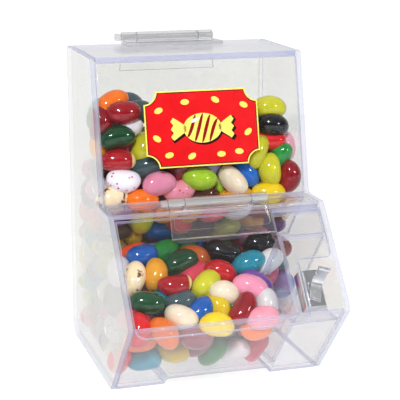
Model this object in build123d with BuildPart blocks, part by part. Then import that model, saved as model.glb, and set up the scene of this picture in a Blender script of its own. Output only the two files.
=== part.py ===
"""Desk-top scoop bin for loose sweets, in clear moulded plastic.

A clear box with a leaning front window, a nose with a lift-up door, a bay for a
small metal scoop on the right, and a lid hinged along the rear top edge.
Millimetres; +X right, the front faces -Y, +Z up; the origin is under the middle.
"""
import math
import os

from build123d import *

os.makedirs("parts", exist_ok=True)

# ---------------------------------------------------------------- driving sizes
WIDTH = 104.0            # over the two side walls
WALL = 2.5               # side walls
SHEET = 2.2              # all other clear panels
INNER = WIDTH / 2 - WALL # half the space between the side walls

# Side outline, as (distance forward of the back, height).
BODY_TOP = 150.0
TOP_DEPTH = 53.5
WINDOW_FOOT = (68.2, 83.0)
SHELF_NOSE = (86.5, 83.0)
LIP = (121.5, 40.5)
FRONT_FOOT = 85.5
Y_MID = 60.8             # forward distance that lies on the Y origin

FOOT_RISE = 3.4          # the floor is lifted between its two feet
FOOT_HALF_GAP = 26.0

DOOR_GAP = 0.4           # between the closed door and what lies under it
DOOR_THICK = 2.0
DOOR_SIDE_GAP = 0.4
DOOR_START = 2.6         # along the slope, from the shelf nose
DOOR_END = 59.2
DOOR_NOTCH = 28.0
DOOR_NOTCH_X = 32.5

DIVIDER_X = 26.0         # left face of the bay divider
HEADER_END = 15.0        # the header covers this much of the slope
LEDGE_TOP = 34.0

BARREL_R = 2.5
PIN_R = 1.2
RUN_FIT = 0.05           # radial clearance of a pin in a turning knuckle
LEAF_THICK = 1.6
LEAF_LONG = 14.3
LEAF_HALF_ROOT = 23.75
LEAF_HALF_TIP = 25.0
KNUCKLE_MID = 15.9       # half length of the middle knuckle
KNUCKLE_GAP = 0.3
DOOR_AXIS = (84.0, 86.2)
LID_AXIS = (-0.3, 153.1)

LID_SIDE_GAP = 0.3
LID_REST_GAP = 0.3

LABEL_W = 56.0
LABEL_H = 36.0
LABEL_THICK = 0.2
LABEL_MIDDLE = (0.0, 34.0) # across the window, and up it from its foot
LABEL_SCOOP = 6.0        # radius scooped out of each corner

SCOOP_X = 38.7           # middle of the scoop bowl
SCOOP_HALF = 5.5
SCOOP_METAL = 0.8


# ------------------------------------------------------------------ outline maths
def unit(a, b):
    """Unit direction from a to b."""
    length = math.hypot(b[0] - a[0], b[1] - a[1])
    return ((b[0] - a[0]) / length, (b[1] - a[1]) / length)


def along(a, direction, distance, normal, lift):
    """Point at a distance along a direction and a lift along its normal."""
    return (
        a[0] + direction[0] * distance + normal[0] * lift,
        a[1] + direction[1] * distance + normal[1] * lift,
    )


def meet(a, a_dir, b, b_dir):
    """Point where the line through a crosses the line through b."""
    cross = a_dir[0] * b_dir[1] - a_dir[1] * b_dir[0]
    gap = (b[0] - a[0], b[1] - a[1])
    distance = (gap[0] * b_dir[1] - gap[1] * b_dir[0]) / cross
    return (a[0] + a_dir[0] * distance, a[1] + a_dir[1] * distance)


SLOPE_DIR = unit(SHELF_NOSE, LIP)
SLOPE_OUT = (-SLOPE_DIR[1], SLOPE_DIR[0])
WINDOW_DIR = unit(WINDOW_FOOT, (TOP_DEPTH, BODY_TOP))
WINDOW_OUT = (WINDOW_DIR[1], -WINDOW_DIR[0])
FRONT_DIR = unit((FRONT_FOOT, 0.0), LIP)
FRONT_OUT = (FRONT_DIR[1], -FRONT_DIR[0])
SLOPE_LONG = math.hypot(LIP[0] - SHELF_NOSE[0], LIP[1] - SHELF_NOSE[1])


def slope(s, lift):
    """Point on the door slope: s down it from the nose, lift outwards."""
    return along(SHELF_NOSE, SLOPE_DIR, s, SLOPE_OUT, lift)


def window_at(height, lift):
    """Point on the leaning window at a height, lifted outwards."""
    distance = (height - WINDOW_FOOT[1] - WINDOW_OUT[1] * lift) / WINDOW_DIR[1]
    return along(WINDOW_FOOT, WINDOW_DIR, distance, WINDOW_OUT, lift)


def front_at(height, lift):
    """Point on the undercut lower front at a height, lifted outwards."""
    distance = (height - FRONT_OUT[1] * lift) / FRONT_DIR[1]
    return along((FRONT_FOOT, 0.0), FRONT_DIR, distance, FRONT_OUT, lift)


def yz(point):
    """Outline point to sketch point on Plane.YZ."""
    return (Y_MID - point[0], point[1])


def prism(points, x_low, x_high):
    """Extrude an outline along X, inside the current part."""
    with BuildSketch(Plane.YZ.offset(x_low)) as profile:
        with BuildLine():
            Polyline(*[yz(p) for p in points], close=True)
        make_face()
    extrude(profile.sketch, amount=x_high - x_low)


def rounded_outline(corners, x_low, x_high):
    """Extrude an outline whose corners are (point, radius)."""
    with BuildSketch(Plane.YZ.offset(x_low)) as profile:
        with BuildLine():
            Polyline(*[yz(p) for p, _ in corners], close=True)
        make_face()
        for point, radius in corners:
            if radius > 0:
                near = profile.vertices().sort_by_distance(Vector(*yz(point)))
                fillet(near[0:1], radius)
    extrude(profile.sketch, amount=x_high - x_low)


def bar_x(point, radius, x_low, x_high, mode=Mode.ADD):
    """Round bar along X about an outline point."""
    with BuildSketch(Plane.YZ.offset(x_low)) as disc:
        with Locations(yz(point)):
            Circle(radius)
    extrude(disc.sketch, amount=x_high - x_low, mode=mode)


def save(builder, name):
    """Label one piece and write its STEP file."""
    builder.part.label = name
    export_step(builder.part, f"parts/{name}.step")


# Plane lying on the door slope: local x is -X, local y runs down the slope.
nose_y, nose_z = yz(SHELF_NOSE)
SLOPE_PLANE = Plane(
    origin=(0, nose_y, nose_z),
    x_dir=(-1, 0, 0),
    z_dir=(0, -SLOPE_OUT[0], SLOPE_OUT[1]),
)
# Plane lying on the window: local x is +X, local y runs up the window.
foot_y, foot_z = yz(WINDOW_FOOT)
WINDOW_PLANE = Plane(
    origin=(0, foot_y, foot_z),
    x_dir=(1, 0, 0),
    z_dir=(0, -WINDOW_OUT[0], WINDOW_OUT[1]),
)

# --------------------------------------------------------------------- side walls
WALL_CORNERS = [
    ((0.0, 0.0), 7.0),
    ((FRONT_FOOT, 0.0), 3.0),
    (LIP, 2.5),
    (SHELF_NOSE, 3.0),
    (WINDOW_FOOT, 2.5),
    ((TOP_DEPTH, BODY_TOP), 2.0),
    ((0.0, BODY_TOP), 1.5),
]

with BuildPart() as left_side_wall:
    rounded_outline(WALL_CORNERS, -WIDTH / 2, -INNER)
save(left_side_wall, "left_side_wall")

with BuildPart() as right_side_wall:
    rounded_outline(WALL_CORNERS, INNER, WIDTH / 2)
save(right_side_wall, "right_side_wall")

# ----------------------------------------------------------------- floor and back
# Underside outline across the box, shared by the floor, the back and the front.
ARCH = [
    (-FOOT_HALF_GAP, -1.0),
    (-FOOT_HALF_GAP, FOOT_RISE),
    (FOOT_HALF_GAP, FOOT_RISE),
    (FOOT_HALF_GAP, -1.0),
]


def cut_arch():
    """Cut the gap between the two feet out of the current part."""
    with BuildSketch(Plane.XZ.offset(-100)) as gap:
        with BuildLine():
            Polyline(*ARCH, close=True)
        make_face()
        for side in (-FOOT_HALF_GAP, FOOT_HALF_GAP):
            near = gap.vertices().sort_by_distance(Vector(side, FOOT_RISE))
            fillet(near[0:1], 1.6)
    extrude(gap.sketch, amount=200, mode=Mode.SUBTRACT)


with BuildPart() as floor_pan:
    floor_front = front_at(0.0, -SHEET)
    prism(
        [
            (SHEET, 0.0),
            floor_front,
            front_at(FOOT_RISE + SHEET, -SHEET),
            (SHEET, FOOT_RISE + SHEET),
        ],
        -INNER,
        INNER,
    )
    cut_arch()
    # The feet are hollow channels, open upwards.
    for x_low, x_high in (
        (-INNER, -FOOT_HALF_GAP - SHEET),
        (FOOT_HALF_GAP + SHEET, INNER),
    ):
        with BuildSketch(Plane.XY.offset(SHEET)):
            with Locations(((x_low + x_high) / 2, 0)):
                Rectangle(x_high - x_low, 300)
        extrude(amount=FOOT_RISE + 1.0, mode=Mode.SUBTRACT)
save(floor_pan, "floor_pan")

with BuildPart() as back_wall:
    rounded_outline(
        [
            ((0.0, 0.0), 0.0),
            ((SHEET, 0.0), 0.0),
            ((SHEET, BODY_TOP - SHEET - LID_REST_GAP), 0.0),
            ((0.0, BODY_TOP - SHEET - LID_REST_GAP), 0.0),
        ],
        -INNER,
        INNER,
    )
    cut_arch()
    # The wall's foot follows the rounded heel of the side walls.
    with BuildSketch(Plane.YZ.offset(-INNER)) as heel:
        with BuildLine():
            Polyline(yz((-1, -1)), yz((7, -1)), yz((7, 0)), yz((0, 7)), yz((-1, 7)), close=True)
        make_face()
        with Locations(yz((7.0, 7.0))):
            Circle(7.0, mode=Mode.SUBTRACT)
    extrude(amount=2 * INNER, mode=Mode.SUBTRACT)
save(back_wall, "back_wall")

# ------------------------------------------------------------------ front panels
with BuildPart() as front_window:
    top_edge = BODY_TOP - SHEET - LID_REST_GAP
    prism(
        [
            WINDOW_FOOT,
            window_at(WINDOW_FOOT[1], -SHEET),
            window_at(top_edge, -SHEET),
            window_at(top_edge, 0.0),
        ],
        -INNER,
        INNER,
    )
save(front_window, "front_window")

SHELF_BACK = window_at(WINDOW_FOOT[1], -SHEET)[0]
with BuildPart() as shelf_panel:
    prism(
        [
            (SHELF_BACK, 83.0),
            (85.2, 83.0),
            (86.0, 82.2),
            (86.0, 83.0 - SHEET),
            (SHELF_BACK, 83.0 - SHEET),
        ],
        -INNER,
        INNER,
    )
save(shelf_panel, "shelf_panel")

with BuildPart() as lower_front_panel:
    under_door = slope(0.0, -DOOR_THICK - DOOR_GAP)
    lip_outer = meet(front_at(0.0, 0.0), FRONT_DIR, under_door, SLOPE_DIR)
    lip_inner = meet(front_at(0.0, -SHEET), FRONT_DIR, under_door, SLOPE_DIR)
    prism(
        [(FRONT_FOOT, 0.0), lip_outer, lip_inner, front_at(0.0, -SHEET)],
        -INNER,
        INNER,
    )
    cut_arch()
save(lower_front_panel, "lower_front_panel")

# --------------------------------------------------------------- inside the nose
BAFFLE_TOP = (SHELF_BACK, 83.0 - SHEET)
BAFFLE_FOOT = (46.0, 57.5)
BAFFLE_DIR = unit(BAFFLE_TOP, BAFFLE_FOOT)
with BuildPart() as flow_baffle:
    back_off = (BAFFLE_DIR[1] * 1.8, -BAFFLE_DIR[0] * 1.8)
    prism(
        [
            (BAFFLE_TOP[0] + 2.4, BAFFLE_TOP[1]),
            BAFFLE_TOP,
            BAFFLE_FOOT,
            (BAFFLE_FOOT[0] - back_off[0], BAFFLE_FOOT[1] - back_off[1]),
        ],
        -INNER,
        INNER,
    )
save(flow_baffle, "flow_baffle")

HEADER_OUT = -DOOR_THICK - DOOR_GAP
with BuildPart() as bay_header:
    prism(
        [
            slope(3.2, HEADER_OUT),
            slope(HEADER_END, HEADER_OUT),
            slope(HEADER_END, HEADER_OUT - 1.8),
            slope(3.2, HEADER_OUT - 1.8),
        ],
        DIVIDER_X,
        INNER,
    )
    # A short foot bonds the header under the shelf.
    prism(
        [
            (84.6, 83.0 - SHEET),
            (82.4, 83.0 - SHEET),
            slope(4.6, HEADER_OUT - 1.8),
            slope(4.6, HEADER_OUT - 0.9),
            slope(3.2, HEADER_OUT - 0.9),
        ],
        DIVIDER_X,
        INNER,
    )
save(bay_header, "bay_header")

PLATE_TOP = slope(HEADER_END, HEADER_OUT - 1.8)
PLATE_DIR = unit((92.0, 71.5), (60.0, 34.0))
PLATE_UP = (PLATE_DIR[1], -PLATE_DIR[0])


def plate(distance, lift):
    """Point on the bay's sloping back plate, lift towards the hopper."""
    return along(PLATE_TOP, PLATE_DIR, distance, PLATE_UP, lift)


def plate_at(height, lift):
    """Point on the back plate at a height."""
    distance = (height - PLATE_TOP[1] - PLATE_UP[1] * lift) / PLATE_DIR[1]
    return plate(distance, lift)


BAY_X = DIVIDER_X + SHEET
with BuildPart() as bay_back_plate:
    prism(
        [
            PLATE_TOP,
            plate(0.0, -1.8),
            plate_at(SHEET, -1.8),
            plate_at(SHEET, 0.0),
        ],
        BAY_X,
        INNER,
    )
save(bay_back_plate, "bay_back_plate")

LEDGE_BACK = plate_at(LEDGE_TOP, -1.8)[0]
with BuildPart() as bay_ledge:
    prism(
        [
            (LEDGE_BACK, LEDGE_TOP),
            front_at(LEDGE_TOP, -SHEET),
            front_at(LEDGE_TOP - 1.8, -SHEET),
            (plate_at(LEDGE_TOP - 1.8, -1.8)[0], LEDGE_TOP - 1.8),
        ],
        BAY_X,
        INNER,
    )
save(bay_ledge, "bay_ledge")

with BuildPart() as bay_divider:
    prism(
        [
            slope(HEADER_END, HEADER_OUT),
            meet(front_at(0.0, -SHEET), FRONT_DIR, under_door, SLOPE_DIR),
            front_at(FOOT_RISE + SHEET, -SHEET),
            plate_at(FOOT_RISE + SHEET, 0.0),
            PLATE_TOP,
        ],
        DIVIDER_X,
        BAY_X,
    )
save(bay_divider, "bay_divider")

# -------------------------------------------------------------------- front label
with BuildPart() as front_label:
    with BuildSketch(WINDOW_PLANE):
        with Locations(LABEL_MIDDLE):
            Rectangle(LABEL_W, LABEL_H)
            with GridLocations(LABEL_W, LABEL_H, 2, 2):
                Circle(LABEL_SCOOP, mode=Mode.SUBTRACT)
    extrude(amount=LABEL_THICK)
save(front_label, "front_label")


# ------------------------------------------------------------------------ hinges
def hinge_pin(axis):
    """Pin with a round head that stands out on the left."""
    bar_x(axis, PIN_R, -LEAF_HALF_ROOT - 0.4, LEAF_HALF_ROOT + 0.6)
    bar_x(axis, 1.8, -LEAF_HALF_ROOT - 3.4, -LEAF_HALF_ROOT - 0.4)


def leaf_outline(plane, start, end, half_start, half_end, thick, mode=Mode.ADD, radius=0.0):
    """Tapered flat of a hinge leaf on a plane; local y runs from the barrel outwards."""
    with BuildSketch(plane) as flat:
        with BuildLine():
            Polyline(
                (-half_start, start),
                (half_start, start),
                (half_end, end),
                (-half_end, end),
                close=True,
            )
        make_face()
        if radius:
            for side in (-half_end, half_end):
                near = flat.vertices().sort_by_distance(Vector(side, end))
                fillet(near[0:1], radius)
    extrude(flat.sketch, amount=thick, mode=mode)


def strip(plane, x_low, x_high, y_low, y_high, thick, mode=Mode.ADD):
    """Rectangular block standing on a plane."""
    with BuildSketch(plane) as block:
        with Locations(((x_low + x_high) / 2, (y_low + y_high) / 2)):
            Rectangle(x_high - x_low, y_high - y_low)
    extrude(block.sketch, amount=thick, mode=mode)


# Planes that the four leaves lie on; local y runs away from the barrel.
SHELF_PLANE = Plane(origin=(0, yz(DOOR_AXIS)[0], 83.0), x_dir=(1, 0, 0), z_dir=(0, 0, 1))
BACK_PLANE = Plane(origin=(0, Y_MID, LID_AXIS[1]), x_dir=(1, 0, 0), z_dir=(0, 1, 0))
LID_PLANE = Plane(origin=(0, yz(LID_AXIS)[0], BODY_TOP), x_dir=(-1, 0, 0), z_dir=(0, 0, 1))


def raised(plane, lift):
    """The same plane, lifted along its normal."""
    return Plane(origin=plane.origin + plane.z_dir * lift, x_dir=plane.x_dir, z_dir=plane.z_dir)


def fixed_leaf(plane, axis, near, far):
    """Leaf bonded to the bin: a flat, a tongue and the middle knuckle."""
    leaf_outline(plane, near, far, LEAF_HALF_ROOT, LEAF_HALF_TIP, LEAF_THICK)
    strip(plane, -KNUCKLE_MID, KNUCKLE_MID, 0.0, near, LEAF_THICK)
    bar_x(axis, BARREL_R, -KNUCKLE_MID, KNUCKLE_MID)
    bar_x(axis, PIN_R, -KNUCKLE_MID - 1, KNUCKLE_MID + 1, mode=Mode.SUBTRACT)


def turning_leaf(plane, axis, root, near, far, field_end):
    """Leaf that turns: a flat with a sunk field, and the two outer knuckles."""
    leaf_outline(plane, near, far, LEAF_HALF_ROOT, LEAF_HALF_TIP, LEAF_THICK)
    field = raised(plane, LEAF_THICK - 0.6)
    leaf_outline(
        field, near + 1.6, field_end, 21.9, 23.1, 2.0, mode=Mode.SUBTRACT, radius=2.0
    )
    inner_end = KNUCKLE_MID + KNUCKLE_GAP
    for side in (-1, 1):
        x_low, x_high = sorted((side * inner_end, side * LEAF_HALF_ROOT))
        strip(plane, x_low, x_high, root, near, LEAF_THICK)
        bar_x(axis, BARREL_R, x_low, x_high)
    bar_x(axis, PIN_R + RUN_FIT, -30, 30, mode=Mode.SUBTRACT)


with BuildPart() as front_hinge_fixed_leaf:
    fixed_leaf(SHELF_PLANE, DOOR_AXIS, 3.2, 13.4)
save(front_hinge_fixed_leaf, "front_hinge_fixed_leaf")

with BuildPart() as front_hinge_pin:
    hinge_pin(DOOR_AXIS)
save(front_hinge_pin, "front_hinge_pin")

with BuildPart() as front_hinge_door_leaf:
    turning_leaf(SLOPE_PLANE, DOOR_AXIS, -4.0, -0.9, LEAF_LONG, 10.1)
save(front_hinge_door_leaf, "front_hinge_door_leaf")

with BuildPart() as lid_hinge_fixed_leaf:
    fixed_leaf(BACK_PLANE, LID_AXIS, 3.2, 17.1)
save(lid_hinge_fixed_leaf, "lid_hinge_fixed_leaf")

with BuildPart() as lid_hinge_pin:
    hinge_pin(LID_AXIS)
save(lid_hinge_pin, "lid_hinge_pin")

with BuildPart() as lid_hinge_lid_leaf:
    turning_leaf(LID_PLANE, LID_AXIS, 0.0, 3.2, 15.4, 11.2)
save(lid_hinge_lid_leaf, "lid_hinge_lid_leaf")

# -------------------------------------------------------------------- moving doors
DOOR_HALF = INNER - DOOR_SIDE_GAP
DOOR_CORNERS = [
    ((DOOR_HALF, DOOR_START), 0.0),
    ((DOOR_HALF, DOOR_END), 5.0),
    ((-DOOR_NOTCH_X, DOOR_END), 6.0),
    ((-DOOR_NOTCH_X, DOOR_NOTCH), 2.5),
    ((-DOOR_HALF, DOOR_NOTCH), 2.5),
    ((-DOOR_HALF, DOOR_START), 0.0),
]

with BuildPart() as front_door_panel:
    with BuildSketch(raised(SLOPE_PLANE, -DOOR_THICK)) as door_sketch:
        with BuildLine():
            Polyline(*[point for point, _ in DOOR_CORNERS], close=True)
        make_face()
        for point, radius in DOOR_CORNERS:
            if radius > 0:
                near = door_sketch.vertices().sort_by_distance(Vector(*point))
                fillet(near[0:1], radius)
    extrude(amount=DOOR_THICK)
save(front_door_panel, "front_door_panel")

with BuildPart() as lid_panel:
    lid_half = INNER - LID_SIDE_GAP
    prism(
        [
            (0.6, BODY_TOP),
            (TOP_DEPTH, BODY_TOP),
            window_at(BODY_TOP - SHEET, 0.0),
            (0.6, BODY_TOP - SHEET),
        ],
        -lid_half,
        lid_half,
    )
save(lid_panel, "lid_panel")

# -------------------------------------------------------------------------- scoop
# The scoop lies in the bay with its mouth up the slope and its hollow side inwards.
SCOOP_FACE = -5.5        # outer face of the bowl, below the slope
SCOOP_DEEP = 7.0
SCOOP_MOUTH = 32.0
SCOOP_TAIL = 50.0
STRAP_LEAN = 18.0
STRAP_HALF = 2.7

scoop_origin = SLOPE_PLANE.origin + Vector(SCOOP_X, 0, 0)
SCOOP_PLANE = Plane(origin=scoop_origin, x_dir=SLOPE_PLANE.x_dir, z_dir=SLOPE_PLANE.z_dir)
# Cross-section plane at the mouth: local y points inwards, local z down the slope.
MOUTH_PLANE = Plane(
    origin=scoop_origin + SCOOP_PLANE.y_dir * SCOOP_MOUTH + SCOOP_PLANE.z_dir * SCOOP_FACE,
    x_dir=SCOOP_PLANE.x_dir,
    z_dir=SCOOP_PLANE.y_dir,
)


def trough(half, radius, start, length, mode):
    """Round-cornered U block behind the bowl's outer face."""
    with BuildSketch(MOUTH_PLANE) as cross:
        with Locations((0, start + SCOOP_DEEP / 2)):
            Rectangle(2 * half, SCOOP_DEEP)
        fillet(cross.vertices().group_by(Axis.Y)[0], radius)
    extrude(cross.sketch, amount=length, mode=mode)


with BuildPart() as scoop_bowl:
    scoop_long = SCOOP_TAIL - SCOOP_MOUTH
    trough(SCOOP_HALF, 3.0, 0.0, scoop_long, Mode.ADD)
    trough(
        SCOOP_HALF - SCOOP_METAL,
        3.0 - SCOOP_METAL,
        SCOOP_METAL,
        scoop_long - SCOOP_METAL,
        Mode.SUBTRACT,
    )
save(scoop_bowl, "scoop_bowl")

# Strap profile in the plane of slope distance (local x) and lift (local y).
STRAP_FOOT = 47.5
STRAP_TIP_LIFT = 5.0
strap_hub = (
    scoop_origin + SCOOP_PLANE.y_dir * (STRAP_FOOT - 3.0) + SCOOP_PLANE.z_dir * SCOOP_FACE
)
lean = math.radians(STRAP_LEAN)
strap_up = -SCOOP_PLANE.y_dir * math.cos(lean) + Vector(math.sin(lean), 0, 0)
strap_side = strap_up.cross(SCOOP_PLANE.z_dir)
STRAP_PLANE = Plane(origin=strap_hub, x_dir=strap_up, z_dir=strap_side)

with BuildPart() as scoop_handle:
    with BuildSketch(raised(STRAP_PLANE, -STRAP_HALF)) as strap_sketch:
        with BuildLine() as strap_line:
            foot = Line((-3.0, 0.4), (3.5, 0.4))
            sweep_out = TangentArc(foot @ 1, (7.5, 4.0), tangent=foot % 1)
            rise = Line(sweep_out @ 1, (sweep_out @ 1) + (sweep_out % 1) * 7.2)
        trace(line_width=SCOOP_METAL)
        with Locations(rise @ 1):
            Circle(1.1)
    extrude(amount=2 * STRAP_HALF)
save(scoop_handle, "scoop_handle")

for index, offset in enumerate((-1.4, 1.6)):
    with BuildPart() as scoop_rivet:
        place = STRAP_PLANE.origin + strap_up * offset + SCOOP_PLANE.z_dir * SCOOP_METAL
        with BuildSketch(Plane(origin=place, x_dir=(1, 0, 0), z_dir=SCOOP_PLANE.z_dir)):
            Circle(0.9)
        extrude(amount=0.45)
    save(scoop_rivet, ("scoop_rivet_lower", "scoop_rivet_upper")[index])

# -------------------------------------------------------------------------- sweets
FILL_GAP = 0.35
with BuildPart() as candy_in_hopper:
    prism(
        [
            (SHEET + FILL_GAP, FOOT_RISE + SHEET + FILL_GAP),
            (BAFFLE_FOOT[0] - 1.5, FOOT_RISE + SHEET + FILL_GAP),
            (BAFFLE_FOOT[0] - 1.5, BAFFLE_FOOT[1] + 1.0),
            (BAFFLE_TOP[0] - 1.5, BAFFLE_TOP[1] + 1.0),
            window_at(84.0, -SHEET - FILL_GAP),
            window_at(128.0, -SHEET - FILL_GAP),
            (30.0, 126.0),
            (SHEET + FILL_GAP, 121.0),
        ],
        -INNER + FILL_GAP,
        INNER - FILL_GAP,
    )
    # Nothing lies under the bay's sloping back plate.
    with BuildSketch(Plane.YZ.offset(DIVIDER_X - FILL_GAP)) as under_plate:
        with BuildLine():
            Polyline(
                yz(plate(-10.0, FILL_GAP)),
                yz(plate(100.0, FILL_GAP)),
                yz((120.0, -10.0)),
                yz((120.0, 80.0)),
                close=True,
            )
        make_face()
    extrude(amount=40, mode=Mode.SUBTRACT)
save(candy_in_hopper, "candy_in_hopper")

with BuildPart() as candy_in_tray:
    prism(
        [
            (BAFFLE_FOOT[0] - 1.2, FOOT_RISE + SHEET + FILL_GAP),
            front_at(FOOT_RISE + SHEET + FILL_GAP, -SHEET - FILL_GAP),
            front_at(37.0, -SHEET - FILL_GAP),
            (100.0, 48.0),
            (68.0, 57.5),
            (53.0, 58.5),
            (BAFFLE_FOOT[0] - 1.2, 55.0),
        ],
        -INNER + FILL_GAP,
        DIVIDER_X - FILL_GAP,
    )
save(candy_in_tray, "candy_in_tray")
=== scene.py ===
# %% [markdown]
# # A desk-top scoop bin full of glossy sweets
#
# The real object is a small clear plastic box: a leaning window, a sloping door that
# lifts on a clear hinge, a lid for filling it, and an aluminium scoop in a narrow bay.
# The measured frame gives every place and size, so this lesson only adds what the eye
# sees: edges that glow, faint haze, candy glaze, metal and print.

# %% Load the measured frame
import itertools
import math

import bmesh
import bpy
import numpy as np
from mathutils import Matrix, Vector


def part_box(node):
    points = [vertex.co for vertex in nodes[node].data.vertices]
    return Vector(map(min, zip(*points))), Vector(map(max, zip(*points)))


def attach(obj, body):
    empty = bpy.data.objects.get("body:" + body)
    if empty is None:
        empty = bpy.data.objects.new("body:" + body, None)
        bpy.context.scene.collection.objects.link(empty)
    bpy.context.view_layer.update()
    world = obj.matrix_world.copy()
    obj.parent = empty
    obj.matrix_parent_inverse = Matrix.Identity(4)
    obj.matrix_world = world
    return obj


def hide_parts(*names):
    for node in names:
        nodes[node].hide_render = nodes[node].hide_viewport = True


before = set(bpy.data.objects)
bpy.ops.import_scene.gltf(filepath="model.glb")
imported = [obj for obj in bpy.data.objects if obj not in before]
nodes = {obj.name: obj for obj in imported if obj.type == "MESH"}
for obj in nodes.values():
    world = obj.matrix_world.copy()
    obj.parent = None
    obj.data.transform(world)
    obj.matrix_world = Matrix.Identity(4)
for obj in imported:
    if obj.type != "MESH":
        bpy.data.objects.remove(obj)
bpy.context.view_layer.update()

MM = 0.001

# %% [markdown]
# ## The viewpoint
#
# A product shot is taken with a long lens, a little above the lid and left of centre.
# A long lens keeps the box's upright edges nearly parallel. Two angles and a distance
# place the camera; nothing else in the lesson depends on it.

# %% Camera
CAMERA_AT = (-0.1761, -0.5686, 0.2246)
CAMERA_TURN = (math.radians(76.45), 0.0, math.radians(-17.1))
camera_data = bpy.data.cameras.new("product_camera")
camera_data.lens = 115.3
camera_data.sensor_width = 36.0
camera = bpy.data.objects.new("product_camera", camera_data)
camera.location = CAMERA_AT
camera.rotation_euler = CAMERA_TURN
bpy.context.scene.collection.objects.link(camera)
bpy.context.scene.camera = camera
print("camera lens", camera_data.lens)

# %% [markdown]
# ## Studio light
#
# Clear plastic shows whatever surrounds it. The room is a white tent that gives little
# light from its open side, in front, so the window mirrors little and the sweets keep
# their depth; seen directly it is plain white. Small softboxes put bright dots on the
# sweets, a weak one lights the left wall, and a wide soft sun fills the shadows. Many
# clear sheets lie behind each other, so rays may cross many of them.


# %% World and lamps
def colour(red, green, blue):
    """Turns everyday 0-255 colour numbers into Blender's linear ones."""
    def linear(value):
        value /= 255.0
        return value / 12.92 if value <= 0.04045 else ((value + 0.055) / 1.055) ** 2.4
    return (linear(red), linear(green), linear(blue), 1.0)


scene = bpy.context.scene
scene.view_settings.view_transform = "Standard"
scene.cycles.transparent_max_bounces = 48


def white_tent(open_side, closed_side):
    """A world that lights less from the open side in front (-Y), yet looks white itself."""
    world = bpy.data.worlds.new("white_tent")
    world.use_nodes = True
    tree = world.node_tree
    place = tree.nodes.new("ShaderNodeTexCoord")
    split = tree.nodes.new("ShaderNodeSeparateXYZ")
    tree.links.new(place.outputs["Generated"], split.inputs[0])
    fade = tree.nodes.new("ShaderNodeMapRange")
    fade.interpolation_type = "SMOOTHSTEP"
    for label, value in (("From Min", -0.4), ("From Max", 0.7),
                         ("To Min", open_side), ("To Max", closed_side)):
        fade.inputs[label].default_value = value
    tree.links.new(split.outputs["Y"], fade.inputs["Value"])
    sky = tree.nodes["Background"]
    sky.inputs["Color"].default_value = (1, 1, 1, 1)
    seen = tree.nodes.new("ShaderNodeLightPath")
    brighter = tree.nodes.new("ShaderNodeMath")
    brighter.operation = "MAXIMUM"
    tree.links.new(seen.outputs["Is Camera Ray"], brighter.inputs[0])
    tree.links.new(fade.outputs["Result"], brighter.inputs[1])
    tree.links.new(brighter.outputs[0], sky.inputs["Strength"])
    scene.world = world


white_tent(open_side=0.05, closed_side=0.88)


def softbox(name, place, aim, size, watts):
    """A square area lamp that looks at a point."""
    lamp = bpy.data.lights.new(name, "AREA")
    lamp.shape = "SQUARE"
    lamp.size = size
    lamp.energy = watts
    holder = bpy.data.objects.new(name, lamp)
    holder.location = place
    holder.rotation_euler = (Vector(aim) - Vector(place)).to_track_quat("-Z", "Y").to_euler()
    scene.collection.objects.link(holder)


middle = (0.0, 0.0, 0.07)
softbox("key_softbox", (-0.42, -1.0, 0.95), middle, size=0.2, watts=13.5)
softbox("fill_softbox", (0.75, -1.0, 0.5), middle, size=0.2, watts=4.0)
softbox("side_softbox", (-1.1, 0.1, 0.55), middle, size=0.5, watts=1.4)
sun_data = bpy.data.lights.new("wide_sun", "SUN")
sun_data.energy = 0.55
sun_data.angle = math.radians(100)
wide_sun = bpy.data.objects.new("wide_sun", sun_data)
wide_sun.rotation_euler = (math.radians(18), 0.0, 0.0)
scene.collection.objects.link(wide_sun)

# %% [markdown]
# ## The table
#
# A pale light table that glows a little, so the bin stands on white with hardly a shadow.
# It runs far behind the bin, so no horizon shows. It is a stage, not part of the object.


# %% Table
def new_material(name):
    """An empty node material with its Principled shader already wired."""
    material = bpy.data.materials.new(name)
    material.use_nodes = True
    tree = material.node_tree
    return material, tree, tree.nodes["Principled BSDF"]


TABLE_CORNERS = [(-6, -3, 0), (6, -3, 0), (6, 9, 0), (-6, 9, 0)]
JUST_BELOW = -0.0002  # keeps the table clear of the bin's feet
table_mesh = bpy.data.meshes.new("pale_table")
table_mesh.from_pydata(TABLE_CORNERS, [], [(0, 1, 2, 3)])
table = bpy.data.objects.new("pale_table", table_mesh)
table.location.z = JUST_BELOW
scene.collection.objects.link(table)
table_finish, _, table_shader = new_material("pale_table_top")
table_shader.inputs["Base Color"].default_value = (0.3, 0.3, 0.3, 1)
table_shader.inputs["Roughness"].default_value = 0.6
table_shader.inputs["Emission Color"].default_value = (1, 1, 1, 1)
table_shader.inputs["Emission Strength"].default_value = 0.83
table_mesh.materials.append(table_finish)
print("table at", table.location.z)

# %% [markdown]
# ## Shared effects
#
# Three effects come back on several finishes, so each is a node group with its own
# sockets: handling marks (fine scuffs and specks of sugar dust), moulding ripple (the
# slow waviness of injection-moulded sheet) and glaze mottle (the uneven candy coat).


# %% Tools for node groups
def start_group(name, inputs, outputs):
    """A shader node group with plain number or colour sockets."""
    group = bpy.data.node_groups.new(name, "ShaderNodeTree")
    for label, kind, value in inputs:
        socket = group.interface.new_socket(label, in_out="INPUT", socket_type=kind)
        if value is not None:
            socket.default_value = value
    for label, kind in outputs:
        group.interface.new_socket(label, in_out="OUTPUT", socket_type=kind)
    return group, group.nodes.new("NodeGroupInput"), group.nodes.new("NodeGroupOutput")


def add(tree, kind, **values):
    """Adds a node; keys are node properties or input names."""
    node = tree.nodes.new("ShaderNode" + kind)
    for key, value in values.items():
        if hasattr(node, key):
            setattr(node, key, value)
        else:
            node.inputs[key.replace("_", " ")].default_value = value
    return node


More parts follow.
